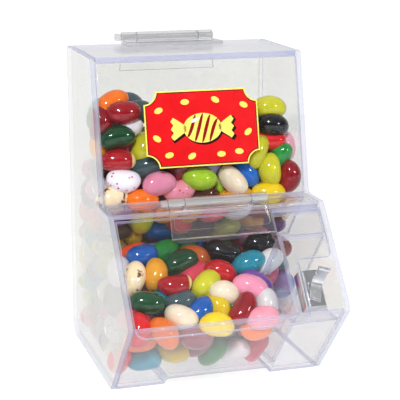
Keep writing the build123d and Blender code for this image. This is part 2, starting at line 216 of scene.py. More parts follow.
def math_node(tree, operation, first, second=None):
    """A Math node; each operand is a number or a socket."""
    node = tree.nodes.new("ShaderNodeMath")
    node.operation = operation
    for socket, value in zip(node.inputs, (first, second)):
        if value is None:
            continue
        if isinstance(value, (int, float)):
            socket.default_value = value
        else:
            tree.links.new(value, socket)
    return node.outputs[0]


def blend_colour(tree, amount, below, above, mode="MIX"):
    """A colour Mix node; amount, below and above are values or sockets."""
    node = tree.nodes.new("ShaderNodeMix")
    node.data_type = "RGBA"
    node.blend_type = mode
    for index, value in ((0, amount), (6, below), (7, above)):
        if isinstance(value, bpy.types.NodeSocket):
            tree.links.new(value, node.inputs[index])
        else:
            node.inputs[index].default_value = value
    return node.outputs[2]


def steps(tree, value, low, high):
    """Stretches a noise value so that low becomes 0 and high becomes 1."""
    node = add(tree, "MapRange", clamp=True)
    tree.links.new(value, node.inputs["Value"])
    node.inputs["From Min"].default_value = low
    node.inputs["From Max"].default_value = high
    return node.outputs["Result"]


print("group tools ready")


# %% Handling marks
def handling_marks():
    """Fine crossing scuffs and tiny dust specks, as a mask from 0 to 1."""
    group, inside, outside = start_group(
        "handling_marks",
        [("Vector", "NodeSocketVector", None), ("Fineness", "NodeSocketFloat", 1.0)],
        [("Scuffs", "NodeSocketFloat"), ("Specks", "NodeSocketFloat")],
    )
    scaled = add(group, "VectorMath", operation="SCALE")
    group.links.new(inside.outputs["Vector"], scaled.inputs[0])
    group.links.new(inside.outputs["Fineness"], scaled.inputs["Scale"])
    total = None
    for stretch in ((900, 90, 500), (120, 800, 140)):
        squeezed = add(group, "VectorMath", operation="MULTIPLY")
        squeezed.inputs[1].default_value = stretch
        group.links.new(scaled.outputs[0], squeezed.inputs[0])
        noise = add(group, "TexNoise", Scale=1.0, Detail=3.0)
        group.links.new(squeezed.outputs[0], noise.inputs["Vector"])
        streak = steps(group, noise.outputs["Fac"], 0.6, 0.78)
        total = streak if total is None else math_node(group, "MAXIMUM", total, streak)
    group.links.new(total, outside.inputs["Scuffs"])
    dots = add(group, "TexVoronoi", Scale=420.0)
    group.links.new(scaled.outputs[0], dots.inputs["Vector"])
    group.links.new(steps(group, dots.outputs["Distance"], 0.13, 0.05), outside.inputs["Specks"])
    return group


MARKS = handling_marks()
print("group", MARKS.name)


# %% Moulding ripple
def moulding_ripple():
    """Slow waviness of a moulded sheet plus faint flow lines, as a height."""
    group, inside, outside = start_group(
        "moulding_ripple",
        [("Vector", "NodeSocketVector", None), ("Scale", "NodeSocketFloat", 40.0)],
        [("Height", "NodeSocketFloat")],
    )
    slow = add(group, "TexNoise", Detail=1.5, Roughness=0.4)
    group.links.new(inside.outputs["Vector"], slow.inputs["Vector"])
    group.links.new(inside.outputs["Scale"], slow.inputs["Scale"])
    flow = add(group, "TexWave", Scale=30.0, Distortion=6.0, Detail=1.0)
    group.links.new(inside.outputs["Vector"], flow.inputs["Vector"])
    faint = math_node(group, "MULTIPLY", flow.outputs["Fac"], 0.08)
    group.links.new(math_node(group, "ADD", slow.outputs["Fac"], faint), outside.inputs["Height"])
    return group


RIPPLE = moulding_ripple()
print("group", RIPPLE.name)


# %% Glaze mottle
TONE_LOWEST, TONE_SPREAD = 0.82, 0.36  # brightness of the dullest sweet, and the range above


def glaze_mottle():
    """Cloudy tone changes of a sugar glaze, and the dimpled height of its skin."""
    group, inside, outside = start_group(
        "glaze_mottle",
        [
            ("Colour", "NodeSocketColor", (0.5, 0.5, 0.5, 1)),
            ("Deep Colour", "NodeSocketColor", (0.2, 0.2, 0.2, 1)),
            ("Cloudiness", "NodeSocketFloat", 0.5),
            ("Tone", "NodeSocketFloat", 0.5),
        ],
        [("Colour", "NodeSocketColor"), ("Height", "NodeSocketFloat")],
    )
    place = add(group, "TexCoord")
    cloud = add(group, "TexNoise", Scale=230.0, Detail=2.0)
    group.links.new(place.outputs["Object"], cloud.inputs["Vector"])
    cloudy = steps(group, cloud.outputs["Fac"], 0.35, 0.7)
    amount = math_node(group, "MULTIPLY", cloudy, inside.outputs["Cloudiness"])
    mixed = blend_colour(group, amount, inside.outputs["Colour"], inside.outputs["Deep Colour"])
    spread = math_node(group, "MULTIPLY", inside.outputs["Tone"], TONE_SPREAD)
    level = math_node(group, "ADD", spread, TONE_LOWEST)
    toned = add(group, "VectorMath", operation="SCALE")
    group.links.new(mixed, toned.inputs[0])
    group.links.new(level, toned.inputs["Scale"])
    group.links.new(toned.outputs[0], outside.inputs["Colour"])
    skin = add(group, "TexNoise", Scale=700.0, Detail=1.0)
    group.links.new(place.outputs["Object"], skin.inputs["Vector"])
    group.links.new(skin.outputs["Fac"], outside.inputs["Height"])
    return group


GLAZE = glaze_mottle()
print("group", GLAZE.name)

# %% [markdown]
# ## Clear plastic
#
# The sheets are 2 mm of clear styrene. They are thin and flat, so what lies behind is
# hardly bent: a Transparent shader shows it, a thin veil shader lies over it with scuffs
# and dust, and a mirror grows towards grazing angles as it does on any gloss surface.
# On the left wall and the lid the veil is thick and near white: that is painted sheen,
# the bright room these sheets mirror at a grazing view. The cut edges gather light from
# the whole sheet, so they get a lilac finish of their own; where their skin turns away,
# their see-through tint is darkened, which is painted shade.


# %% Clear sheet finish
def use_group(tree, group, **values):
    """Places a shared effect in a material with its own values."""
    node = tree.nodes.new("ShaderNodeGroup")
    node.node_tree = group
    for key, value in values.items():
        socket = node.inputs[key.replace("_", " ")]
        if isinstance(value, bpy.types.NodeSocket):
            tree.links.new(value, socket)
        else:
            socket.default_value = value
    return node


def mix_shaders(tree, amount, below, above):
    """A Mix Shader whose amount is a value or a socket."""
    node = tree.nodes.new("ShaderNodeMixShader")
    if isinstance(amount, bpy.types.NodeSocket):
        tree.links.new(amount, node.inputs[0])
    else:
        node.inputs[0].default_value = amount
    tree.links.new(below, node.inputs[1])
    tree.links.new(above, node.inputs[2])
    return node.outputs[0]


def clear_plastic(name, veil, veil_colour, tint, rim=None, ripple=0.25, shine=0.96, scuffs=0.05,
                  head_on=0.025, mirror_rough=0.03, grazing_shade_power=1.6):
    """Clear styrene.

    veil is how much the veil hides what is behind, and the veil has its own colour beside the
    see-through tint. The colour given for skin that turns away is painted shade: the
    see-through tint darkens towards it, for the dark outline of a curved clear edge. head_on
    is what a face mirrors when looked at squarely.
    """
    material, tree, shader = new_material(name)
    place = add(tree, "TexCoord")
    marks = use_group(tree, MARKS, Vector=place.outputs["Object"])
    waves = use_group(tree, RIPPLE, Vector=place.outputs["Object"])
    bump = add(tree, "Bump", Strength=ripple, Distance=0.0006)
    tree.links.new(waves.outputs["Height"], bump.inputs["Height"])

    shader.inputs["Roughness"].default_value = 0.45
    shader.inputs["Specular IOR Level"].default_value = 0.0
    streaked = blend_colour(tree, marks.outputs["Specks"], veil_colour, (1, 1, 1, 1))
    tree.links.new(streaked, shader.inputs["Base Color"])
    through = add(tree, "BsdfTransparent", Color=tint)
    facing = add(tree, "LayerWeight", Blend=0.5)
    tree.links.new(bump.outputs[0], facing.inputs["Normal"])
    # Painted shade: where the skin turns away, the see-through tint darkens towards the given
    # colour.
    if rim:
        turned = math_node(tree, "POWER", facing.outputs["Facing"], grazing_shade_power)
        tree.links.new(blend_colour(tree, turned, tint, rim), through.inputs["Color"])

    marked = math_node(tree, "MULTIPLY", marks.outputs["Scuffs"], scuffs)
    speckled = math_node(tree, "MULTIPLY", marks.outputs["Specks"], scuffs)
    share = math_node(tree, "ADD", math_node(tree, "ADD", marked, speckled), veil)
    body = mix_shaders(tree, share, through.outputs[0], shader.outputs[0])

    mirror = add(tree, "BsdfGlossy", Roughness=mirror_rough)
    tree.links.new(bump.outputs[0], mirror.inputs["Normal"])
    grazing = math_node(tree, "POWER", facing.outputs["Facing"], 5.0)
    gloss = math_node(tree, "ADD", math_node(tree, "MULTIPLY", grazing, shine), head_on)
    tree.links.new(
        mix_shaders(tree, gloss, body, mirror.outputs[0]),
        tree.nodes["Material Output"].inputs["Surface"],
    )
    return material


CLEAR_FACE = clear_plastic(
    "clear_sheet", veil=0.003, veil_colour=colour(232, 232, 240), tint=(0.985, 0.985, 0.99, 1), scuffs=0.02
)
BACK_FACE = clear_plastic(
    "back_sheet", veil=0.12, veil_colour=colour(214, 216, 206), tint=(0.96, 0.965, 0.95, 1)
)
# Painted sheen: this thick, near-white veil on the left wall stands in for the bright room it
# mirrors at a grazing view.
SHEEN_VEILED_FACE = clear_plastic(
    "sheen_veiled_sheet", veil=0.33, veil_colour=colour(246, 247, 243), tint=(0.97, 0.97, 0.975, 1)
)
# Painted sheen: this thick, near-white veil on the lid stands in for the bright room it mirrors at
# a grazing view.
LID_FACE = clear_plastic(
    "lid_sheet", veil=0.5, veil_colour=colour(252, 252, 255), tint=(0.98, 0.98, 0.99, 1)
)
SIDE_FACE = clear_plastic(
    "side_sheet", veil=0.09, veil_colour=colour(224, 221, 210), tint=(0.965, 0.965, 0.955, 1)
)
FRONT_FACE = clear_plastic(
    "lower_front_sheet", veil=0.08, veil_colour=colour(236, 235, 243), tint=(0.98, 0.98, 0.99, 1)
)
# Painted shade: the lilac and blue edge tints darken further where the skin turns away.
EDGE_FACE = clear_plastic(
    "lilac_edge", veil=0.30, veil_colour=colour(218, 220, 236), tint=(0.87, 0.88, 0.95, 1),
    rim=(0.64, 0.67, 0.84, 1), ripple=0.7, shine=0.9
)
BLUE_EDGE = clear_plastic(
    "blue_edge", veil=0.38, veil_colour=colour(200, 204, 234), tint=(0.8, 0.82, 0.95, 1),
    rim=(0.6, 0.64, 0.88, 1), ripple=0.7, shine=0.9
)
LEAF_FACE = clear_plastic(
    "clear_hinge_leaf", veil=0.03, veil_colour=colour(240, 240, 246), tint=(0.985, 0.985, 0.99, 1),
    mirror_rough=0.1
)
# Painted light on the barrel and rims: the white veil paints a light band, and the near-black tint
# where the skin turns away paints dark outlines.
BARREL_FACE = clear_plastic(
    "clear_hinge_barrel", veil=0.1, veil_colour=colour(250, 250, 252), tint=(0.97, 0.97, 0.98, 1),
    rim=(0.02, 0.02, 0.04, 1), ripple=0.5, head_on=0.3, mirror_rough=0.3, grazing_shade_power=3.2
)
print("clear finishes ready")

# %% [markdown]
# ## Clear sheets with softened edges
#
# The frame's sheets are sharp-cornered solids. A real edge has a small radius that
# catches a bright line. Each sheet is copied, cleaned to whole flat faces and given a
# bevel; its broad faces take the sheet finish and its narrow ones the edge finish.


# %% Copying a sheet from the frame
def clean_copy(node, name):
    """The frame node's mesh with its triangles merged back into whole faces."""
    mesh = bpy.data.meshes.new(name)
    work = bmesh.new()
    work.from_mesh(nodes[node].data)
    bmesh.ops.remove_doubles(work, verts=work.verts, dist=2e-6)
    bmesh.ops.dissolve_limit(
        work, angle_limit=math.radians(0.6), verts=work.verts, edges=work.edges
    )
    work.to_mesh(mesh)
    work.free()
    mesh.materials.clear()
    piece = bpy.data.objects.new(name, mesh)
    scene.collection.objects.link(piece)
    return piece


def soften(piece, width):
    """Rounds the sharp edges with a bevel and shades the curved parts smooth.

    The bevel takes the piece's last finish, which on clear pieces is the edge finish.
    """
    piece.data.shade_smooth()
    piece.data.set_sharp_from_angle(angle=math.radians(40))
    bevel = piece.modifiers.new("soft_edges", "BEVEL")
    bevel.width = width
    bevel.segments = 2
    bevel.limit_method = "ANGLE"
    bevel.angle_limit = math.radians(38)
    bevel.material = len(piece.data.materials) - 1


def stand_for(piece, body, slot, *replaced):
    """Says which body carries the piece, and what it stands for. The finish slot is not used."""
    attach(piece, body)
    if replaced:
        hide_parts(*replaced)


def clear_copy(node, name, face, edge, broad, width):
    """A softened copy whose faces above broad square metres take the face finish."""
    piece = clean_copy(node, name)
    for finish in (face, edge):
        piece.data.materials.append(finish)
    for polygon in piece.data.polygons:
        polygon.material_index = 0 if polygon.area > broad else 1
    soften(piece, width)
    return piece


print("sheet helpers ready")

# %% The box and its inner panels
SHEET_BROAD = 2.4e-4  # square metres; smaller faces are cut edges
SHEET_ROUND = 0.0004
SHEETS = (
    ("left_side_wall", SHEEN_VEILED_FACE),
    ("right_side_wall", SIDE_FACE),
    ("back_wall", BACK_FACE),
    ("floor_pan", CLEAR_FACE),
    ("front_window", CLEAR_FACE),
    ("shelf_panel", CLEAR_FACE),
    ("lower_front_panel", FRONT_FACE),
    ("flow_baffle", CLEAR_FACE),
    ("bay_header", CLEAR_FACE),
    ("bay_back_plate", CLEAR_FACE),
    ("bay_ledge", CLEAR_FACE),
    ("bay_divider", CLEAR_FACE),
)


def clear_sheet(node, name, face, edge=EDGE_FACE, body="bin"):
    """A clear sheet with a glowing edge, standing for one frame node."""
    piece = clear_copy(node, name, face, edge, SHEET_BROAD, SHEET_ROUND)
    stand_for(piece, body, "clear_plastic", node)


for node, face in SHEETS:
    clear_sheet(node, "clear_" + node, face)
clear_sheet("lid_panel", "clear_lid_panel", LID_FACE, BLUE_EDGE, body="refill_lid")
clear_sheet("front_door_panel", "clear_front_door", CLEAR_FACE, body="front_door")
print("clear sheets:", len(SHEETS) + 2)

# %% [markdown]
# ## Hinges
#
# Both hinges are small clear mouldings: two leaves, a barrel of knuckles and a pin. The
# flats stay nearly invisible; the rounded barrel and the thin rims bend light strongly,
# so they read as dark outlines with bright streaks and get a finish of their own. In that
# finish the dark outlines are painted shade, a near-black see-through tint where the skin
# turns away, and a white veil paints the light band the barrel shows.

# %% Hinge leaves and pins
HINGES = (
    ("front_hinge_fixed_leaf", "bin"),
    ("front_hinge_pin", "bin"),
    ("front_hinge_door_leaf", "front_door"),
    ("lid_hinge_fixed_leaf", "bin"),
    ("lid_hinge_pin", "bin"),
    ("lid_hinge_lid_leaf", "refill_lid"),
)
LEAF_BROAD = 1.0e-4  # square metres; smaller faces are rims and barrel facets
LEAF_ROUND = 0.0002
for node, body in HINGES:
    piece = clear_copy(node, "clear_" + node, LEAF_FACE, BARREL_FACE, LEAF_BROAD, LEAF_ROUND)
    stand_for(piece, body, "hinge_plastic", node)
print("hinge pieces:", len(HINGES))

# %% [markdown]
# ## The aluminium scoop
#
# A pressed bowl riveted to a folded strap. Rolled aluminium carries fine lines along the
# strap and soft dents, so the roughness and bump follow a noise that is stretched along
# the rolling direction.


# %% Scoop metal
def rolled_aluminium(name, roughness, lines):
    """Bright aluminium with rolling lines, soft dents and worn patches."""
    material, tree, shader = new_material(name)
    shader.inputs["Metallic"].default_value = 1.0
    place = add(tree, "TexCoord")
    squeezed = add(tree, "VectorMath", operation="MULTIPLY")
    squeezed.inputs[1].default_value = (2600, 150, 150)
    tree.links.new(place.outputs["Object"], squeezed.inputs[0])
    fine = add(tree, "TexNoise", Scale=1.0, Detail=2.0)
    tree.links.new(squeezed.outputs[0], fine.inputs["Vector"])
    marks = use_group(tree, MARKS, Vector=place.outputs["Object"], Fineness=1.6)
    tone = blend_colour(tree, fine.outputs["Fac"], colour(196, 198, 203), colour(236, 237, 240))
    worn = blend_colour(tree, marks.outputs["Scuffs"], tone, colour(250, 250, 252))
    tree.links.new(worn, shader.inputs["Base Color"])
    lined = math_node(tree, "MULTIPLY", fine.outputs["Fac"], 0.22)
    tree.links.new(math_node(tree, "ADD", lined, roughness), shader.inputs["Roughness"])
    bump = add(tree, "Bump", Strength=lines, Distance=0.0001)
    tree.links.new(fine.outputs["Fac"], bump.inputs["Height"])
    dents = add(tree, "TexNoise", Scale=120.0, Detail=0.0)
    tree.links.new(place.outputs["Object"], dents.inputs["Vector"])
    soft = add(tree, "Bump", Strength=0.35, Distance=0.0008)
    tree.links.new(dents.outputs["Fac"], soft.inputs["Height"])
    tree.links.new(bump.outputs[0], soft.inputs["Normal"])
    tree.links.new(soft.outputs[0], shader.inputs["Normal"])
    return material


BOWL_METAL = rolled_aluminium("bright_bowl_metal", roughness=0.08, lines=0.2)
STRAP_METAL = rolled_aluminium("satin_strap_metal", roughness=0.2, lines=0.5)
SCOOP = (  # frame node, finish and rounding in metres
    ("scoop_bowl", BOWL_METAL, 0.00015),
    ("scoop_handle", STRAP_METAL, 0.0002),
    ("scoop_rivet_lower", STRAP_METAL, 0.0001),
    ("scoop_rivet_upper", STRAP_METAL, 0.0001),
)
for node, finish, width in SCOOP:
    piece = clean_copy(node, "metal_" + node)
    piece.data.materials.append(finish)
    soften(piece, width)
    stand_for(piece, "scoop", "scoop_metal", node)
print("scoop pieces:", len(SCOOP))

# %% [markdown]
# ## The printed label
#
# A glossy film label with scooped corners sits on the window. The film is the frame's own
# solid; the print is thin raised ink: a red field, a cream keyline and a wrapped sweet
# with scattered drops. Flat outlines in the window's plane keep the print crisp.


# %% Tools for flat print
def face_of(node, direction):
    """(normal, distance) of the frame face that looks most nearly along a direction."""
    wanted = Vector(direction).normalized()
    mesh = nodes[node].data
    best = max(mesh.polygons, key=lambda p: (round(p.normal.dot(wanted), 3), p.area))
    normal = np.array(best.normal[:], float)
    return normal, float(normal @ np.array(best.center[:]))


def window_axes():
    """Middle of the label's outer face, and the right, up and outward directions."""
    normal, distance = face_of("front_label", (0, -1, 0.2))
    low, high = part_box("front_label")
    z = (low.z + high.z) / 2
    outward = Vector(normal)
    middle_point = Vector((0.0, (distance - outward.z * z) / outward.y, z))
    right = Vector((1, 0, 0))
    return middle_point, right, outward.cross(right), outward


LABEL_MIDDLE, LABEL_RIGHT, LABEL_UP, LABEL_OUT = window_axes()
LABEL_HALF_W, LABEL_HALF_H, LABEL_SCOOP = 28.0, 18.0, 6.0  # millimetres
ARC_STEPS = 10
INK_THICK = 0.03  # millimetres


def scooped(inset):
    """Outline of the plaque in millimetres, inset from its edge."""
    half_w, half_h = LABEL_HALF_W - inset, LABEL_HALF_H - inset
    points = []
    for corner, (sx, sy) in enumerate(((1, 1), (-1, 1), (-1, -1), (1, -1))):
        reach = LABEL_SCOOP + inset
        cover = math.asin(min(1.0, inset / reach))
        for step in range(ARC_STEPS + 1):
            angle = cover + (math.pi / 2 - 2 * cover) * step / ARC_STEPS
            if corner % 2 == 1:
                angle = math.pi / 2 - angle
            points.append((sx * (LABEL_HALF_W - reach * math.sin(angle)),
                           sy * (LABEL_HALF_H - reach * math.cos(angle))))
    return points


def printed(name, outlines, finish, lift):
    """Thin ink: each outline becomes a closed slab, lifted off the film by millimetres."""
    mesh = bpy.data.meshes.new(name)
    work = bmesh.new()
    for outline in outlines:
        rows = []
        for height in (lift, lift + INK_THICK):
            rows.append([work.verts.new(
                LABEL_MIDDLE + MM * (x * LABEL_RIGHT + y * LABEL_UP + height * LABEL_OUT)
            ) for x, y in outline])
        work.faces.new(rows[1])
        work.faces.new(rows[0][::-1])
        for k in range(len(outline)):
            after = (k + 1) % len(outline)
            work.faces.new((rows[0][k], rows[0][after], rows[1][after], rows[1][k]))
    bmesh.ops.recalc_face_normals(work, faces=work.faces)
    work.to_mesh(mesh)
    work.free()
    mesh.materials.append(finish)
    piece = bpy.data.objects.new(name, mesh)
    scene.collection.objects.link(piece)
    stand_for(piece, "bin", "label_print")


print("label middle", [round(v, 4) for v in LABEL_MIDDLE])


# %% Ink finish
def ink(name, main, deep):
    """Printed film: slightly uneven ink under a clear gloss, with handling scuffs."""
    material, tree, shader = new_material("ink_" + name)
    place = add(tree, "TexCoord")
    cloud = add(tree, "TexNoise", Scale=90.0, Detail=3.0)
    tree.links.new(place.outputs["Object"], cloud.inputs["Vector"])
    grain = add(tree, "TexNoise", Scale=2600.0, Detail=1.0)
    tree.links.new(place.outputs["Object"], grain.inputs["Vector"])
    uneven = math_node(tree, "MULTIPLY", cloud.outputs["Fac"], grain.outputs["Fac"])
    tone = blend_colour(tree, steps(tree, uneven, 0.12, 0.42), main, deep)
    tree.links.new(tone, shader.inputs["Base Color"])
    shader.inputs["Specular IOR Level"].default_value = 0.2
    marks = use_group(tree, MARKS, Vector=place.outputs["Object"])
    worn = math_node(tree, "MULTIPLY", marks.outputs["Scuffs"], 0.2)
    tree.links.new(math_node(tree, "ADD", worn, 0.28), shader.inputs["Roughness"])
    bump = add(tree, "Bump", Strength=0.06, Distance=0.0001)
    tree.links.new(grain.outputs["Fac"], bump.inputs["Height"])
    tree.links.new(bump.outputs[0], shader.inputs["Normal"])
    return material


CREAM_INK = ink("cream", colour(250, 232, 120), colour(240, 214, 84))
RED_INK = ink("red", colour(226, 22, 28), colour(206, 12, 20))
DEEP_RED_INK = ink("deep_red", colour(150, 8, 16), colour(126, 4, 12))
WHITE_INK = ink("white", colour(248, 244, 236), colour(236, 230, 220))
DARK_INK = ink("dark", colour(40, 14, 16), colour(24, 8, 10))


# %% Label art
OVAL_POINTS, SWIRL_STEPS = 40, 14
SWEET_HALF_W, SWEET_HALF_H = 9.4, 7.0  # the wrapped sweet, in millimetres


def oval(x, y, half_w, half_h, turn=0.0):
    """An oval outline in millimetres, turned by degrees."""
    cos, sin = math.cos(math.radians(turn)), math.sin(math.radians(turn))
    ring = []
    for k in range(OVAL_POINTS):
        angle = 2 * math.pi * k / OVAL_POINTS
        ring.append((half_w * math.cos(angle), half_h * math.sin(angle)))
    return [(x + u * cos - v * sin, y + u * sin + v * cos) for u, v in ring]


def twist(side, grow=0.0):
    """The pleated paper fan at one end of a wrapped sweet."""
    points = [(side * 8.0, -1.2 - grow)]
    for k in range(7):
        reach = (15.6 if k % 2 else 14.2) + grow
        points.append((side * reach, -5.4 - grow + k * (10.8 + 2 * grow) / 6))
    points.append((side * 8.0, 1.2 + grow))
    return points if side > 0 else points[::-1]


def swirl(start, width=0.8, bend=2.2):
    """A curved stripe across the sweet, kept inside its oval."""
    left, right = [], []
    for k in range(SWIRL_STEPS + 1):
        v = -1 + 2 * k / SWIRL_STEPS
        x = start + bend * v
        reach = SWEET_HALF_H * math.sqrt(max(0.0, 1 - (x / SWEET_HALF_W) ** 2))
        y = v * reach
        left.append((x - width * (1 - v * v) ** 0.5 - 0.05, y))
        right.append((x + width * (1 - v * v) ** 0.5 + 0.05, y))
    return left + right[::-1]


film = nodes["front_label"]
film.data.materials.clear()
film.data.materials.append(CREAM_INK)
DROPS = (  # millimetres right and up from the middle, and degrees turned
    (-21, 9, 20), (-22.5, -4, -35), (-17, -12, 10), (21, 10, -25), (22.5, -3, 40),
    (17.5, -12, -5), (-8, 12.5, 0), (8.5, -12.8, 0), (-6, -13, 30), (7, 13, -30),
)
shadow = [oval(0.7, -0.8, 9.6, 7.2)]
shadow += [[(x + 0.7, y - 0.8) for x, y in twist(side, 0.5)] for side in (-1, 1)]
wrap = [oval(0, 0, SWEET_HALF_W, SWEET_HALF_H)] + [twist(side) for side in (-1, 1)]
stripes = [swirl(start) for start in (-5.4, -1.8, 1.8, 5.4)]
drops = [oval(x, y, 2.1, 1.35, turn) for x, y, turn in DROPS]
PRINT = (  # piece, outlines, ink, lift in millimetres
    ("label_dark_keyline", [scooped(0.7)], DARK_INK, 0.01),
    ("label_red_field", [scooped(1.1)], RED_INK, 0.03),
    ("label_sweet_shadow", shadow, DARK_INK, 0.05),
    ("label_sweet_wrap", wrap, CREAM_INK, 0.07),
    ("label_sweet_stripes", stripes, DEEP_RED_INK, 0.09),
    ("label_drops", drops, CREAM_INK, 0.05),
    ("label_gloss", [oval(-3.4, 3.9, 2.6, 0.8, 24)], WHITE_INK, 0.11),
)
for name, outlines, finish, lift in PRINT:
    printed(name, outlines, finish, lift)
print("printed pieces:", len(PRINT))

# %% [markdown]
# ## Packing the sweets
#
# The sweets are jelly beans, about 17 mm long, poured in at random. A physics drop of
# several hundred bodies is slow, so each bean becomes a short rod of three balls. All rods
# start at random inside the box, and small pushes then part every pair of balls that
# overlap and every ball that crosses a wall, until the heap is packed. The walls come from
# the frame's own faces.


# %% Walls read from the frame
WALLS = [
    face_of("candy_in_hopper", (0, 1, 0)),
    face_of("candy_in_hopper", (-1, 0, 0)),
    face_of("candy_in_hopper", (1, 0, 0)),
    face_of("candy_in_hopper", (0, -1, 0.2)),
    face_of("candy_in_tray", (0, -1, -0.8)),
    face_of("candy_in_tray", (0, 0, -1)),
]
CHUTE_NORMAL, CHUTE_AT = face_of("bay_back_plate", (0, 0.8, 0.6))
BAY_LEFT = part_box("bay_divider")[0].x
BAFFLE_LOW, BAFFLE_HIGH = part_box("flow_baffle")
HOPPER_LOW, HOPPER_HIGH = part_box("candy_in_hopper")
TRAY_LOW, TRAY_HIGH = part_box("candy_in_tray")
baffle_top = np.array([BAFFLE_LOW.y + MM, BAFFLE_HIGH.z - MM])  # Y and Z of its middle line
baffle_foot = np.array([BAFFLE_HIGH.y - MM, BAFFLE_LOW.z + MM])
for normal, distance in WALLS:
    print("wall", np.round(normal, 3), round(distance, 4))
print("chute", np.round(CHUTE_NORMAL, 3), round(CHUTE_AT, 4), "bay from x", round(BAY_LEFT, 4))

# %% [markdown]
# ## Sweets that show
#
# The eye knows a heap by the beans nearest to it. Those behind the window, on top of the
# tray, behind the lower front and behind the baffle are listed one by one: where each one
# lies, how it is turned, and its sweet. The packing then lets them shift only a little.

# %% Beans listed one by one
# Behind the window: millimetres right of the middle, millimetres high,
# degrees turned, millimetres back from the glass, sweet.
BEHIND_WINDOW = (
    (-40, 129, 28, 3, "orange"), (-31, 128, -12, 6, "slate"), (-28, 123, 0, 7, "slate"),
    (-36, 124, -8, 1, "crimson"), (-46, 123, 60, 5, "green"), (-34, 117, -12, 3, "speckled_white"),
    (-40, 113, 15, 0, "dark_green"), (-47, 118, 80, 5, "crimson"), (-47, 109, 80, 5, "gold"),
    (-40, 102, -4, 0, "cherry_cream"), (-33, 108, 60, 7, "rose"), (-26, 106, 70, 4, "lemon_olive"),
    (-21, 101, 20, 5, "deep_red"), (-38, 92, -6, 0, "speckled_white"), (-26, 98, 20, 4, "slate"),
    (-21, 90, 6, 0, "pink"), (-9, 96, 60, 3, "crimson"), (-1, 91, -6, 0, "lime"),
    (6, 96, 60, 4, "lilac"), (-2, 99, 10, 8, "green"), (16, 89, -52, 0, "champagne"),
    (24, 92, -60, 3, "blue"), (28, 97, 20, 8, "teal"), (35, 93, 90, 0, "lemon_olive"),
    (34, 82, 0, 1, "yellow"), (46, 89, 80, 1, "crimson"), (42, 98, 80, 4, "green"),
    (47, 102, 90, 6, "pale_pink"), (29, 102, 60, 0, "lemon_olive"), (37, 107, -12, 2, "red"),
    (38, 114, -16, 1, "black"), (38, 122, -4, 2, "lemon_olive"), (17, 100, 12, 4, "cherry_cream"),
    (-43, 85, 10, 2, "cream_brown"), (-29, 83, 6, 1, "orange"), (-10, 86, 15, 2, "speckled_pink"),
    (2, 83, 10, 5, "brown"), (10, 86, 40, 6, "lime"), (18, 80, 0, 3, "gold"),
    (-10, 120, 10, 1, "yellow"), (8, 124, -20, 1, "crimson"), (22, 121, 20, 2, "slate"),
    (-14, 109, -30, 1, "green"), (2, 111, 15, 1, "red"), (18, 111, 30, 1, "gold"),
)
# On top of the tray: millimetres right of the middle, millimetres forward of the back,
# degrees turned, millimetres down into the heap, sweet.
ON_TRAY = (
    (-32, 54, 30, 1, "orange_red"), (-30, 60, 10, 0, "blue"), (-18, 54, 40, 1, "green"),
    (-13, 68, 18, 0, "dark_green"), (-26, 73, 80, 0, "gold"), (-4, 60, -20, 2, "caramel"),
    (10, 62, -28, 0, "black"), (21, 70, 10, 1, "teal"), (31, 57, -10, 0, "black"),
    (5, 76, -10, 0, "red"), (-3, 81, 60, 0, "lemon_olive"), (22, 82, -22, 2, "purple"),
    (17, 89, -42, 0, "pink"), (-37, 74, 70, 0, "cream_brown"), (-19, 84, -6, 0, "cherry_cream"),
    (-34, 91, -4, 0, "dark_green"), (0, 92, 84, 0, "yellow"), (8, 87, 60, 4, "green"),
    (11, 99, 62, 0, "crimson"), (23, 97, 82, 1, "white"), (19, 105, 16, 0, "speckled_pink"),
    (-19, 99, -48, 0, "champagne"), (-10, 95, 40, 3, "blue"), (-4, 106, 2, 0, "yellow"),
    (-40, 103, 84, 1, "red"), (-29, 106, -62, 1, "orange"), (-42, 64, 80, 3, "white"),
    (-7, 70, 30, 4, "rose"), (32, 66, 30, 3, "white"), (-28, 82, 10, 6, "teal"),
    (17, 100, 20, 6, "orange"), (-13, 104, 0, 5, "mauve"),
)
# Behind the lower front, with the same values as behind the window.
BEHIND_FRONT = (
    (-40, 26, 4, 0, "rose"), (-37, 17, 6, 0, "orange"), (-34, 9, 0, 0, "teal"),
    (-46, 9, 60, 3, "red"), (-23, 21, 4, 0, "green"), (-19, 11, 8, 1, "yellow"),
    (-18, 31, 6, 2, "slate"), (-10, 25, 40, 0, "rose"), (-8, 13, 20, 0, "mauve"),
    (0, 9, 70, 1, "green"), (4, 31, -30, 0, "champagne"), (3, 20, -20, 1, "slate"),
    (11, 9, 5, 1, "white"), (17, 29, 8, 1, "pink"), (19, 19, 14, 0, "red"), (21, 9, 50, 2, "rose"),
)
# Seen through the baffle, under the shelf, with the same values again.
BEHIND_BAFFLE = (
    (-41, 76, -5, 0, "purple"), (-40, 65, 5, 0, "dark_green"), (-27, 71, 80, 0, "lemon_olive"),
    (-16, 76, 50, 0, "gold"), (-17, 64, 10, 0, "blue"), (-4, 75, 60, 0, "gold"),
    (8, 74, 30, 0, "rose"), (21, 74, 40, 0, "white"), (33, 74, 25, 0, "crimson"),
    (45, 72, 60, 0, "cream_brown"), (3, 63, 0, 0, "brown"), (17, 62, 20, 0, "lemon_olive"),
)
print("set by hand:", sum(map(len, (BEHIND_WINDOW, ON_TRAY, BEHIND_FRONT, BEHIND_BAFFLE))))

# %% [markdown]
# ## Rods inside the box
#
# A rod of three balls follows a bean closely and is quick to test. The filled space ends
# at the frame's walls, at the baffle, at the scoop's bay and at the heap's own surface,
# which slopes gently in the hopper and lies lower in the tray. Poured beans stay a little
# behind the listed ones, so they never push in front of them.

